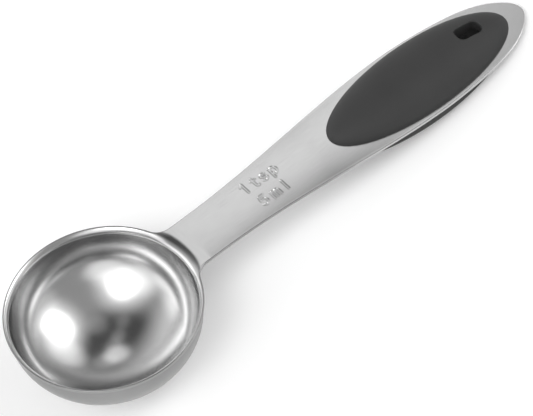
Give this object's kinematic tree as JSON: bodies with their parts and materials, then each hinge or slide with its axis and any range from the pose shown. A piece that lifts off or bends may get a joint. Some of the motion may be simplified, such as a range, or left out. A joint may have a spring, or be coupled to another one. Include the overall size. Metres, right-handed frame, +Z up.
{
  "type": "measuring spoon",
  "caption": "Level measuring spoon with a deep round steel bowl, a flat steel handle and soft grip pads with a hanging slot",
  "frame": {"origin": "centre of the spoon's footprint, on the table that it rests on", "axes": "+X runs from the bowl to the tip of the handle, +Z is up from the table with the bowl open upwards, +Y is across; the rim dips 6.7 degrees towards the handle, as the spoon rests on its bowl and on the belly of the lower pad"},
  "size_m": [0.0938, 0.0298, 0.0136],
  "materials": {
    "steel": "polished stainless steel, softly brushed along the handle",
    "core": "hard black plastic, hidden but for the walls of the slot",
    "grip": "soft charcoal rubber with a fine matt surface"
  },
  "bodies": {
    "root": {"steel_spoon": "steel", "grip_core": "core", "upper_grip_pad": "grip", "lower_grip_pad": "grip"}
  },
  "joints": []
}
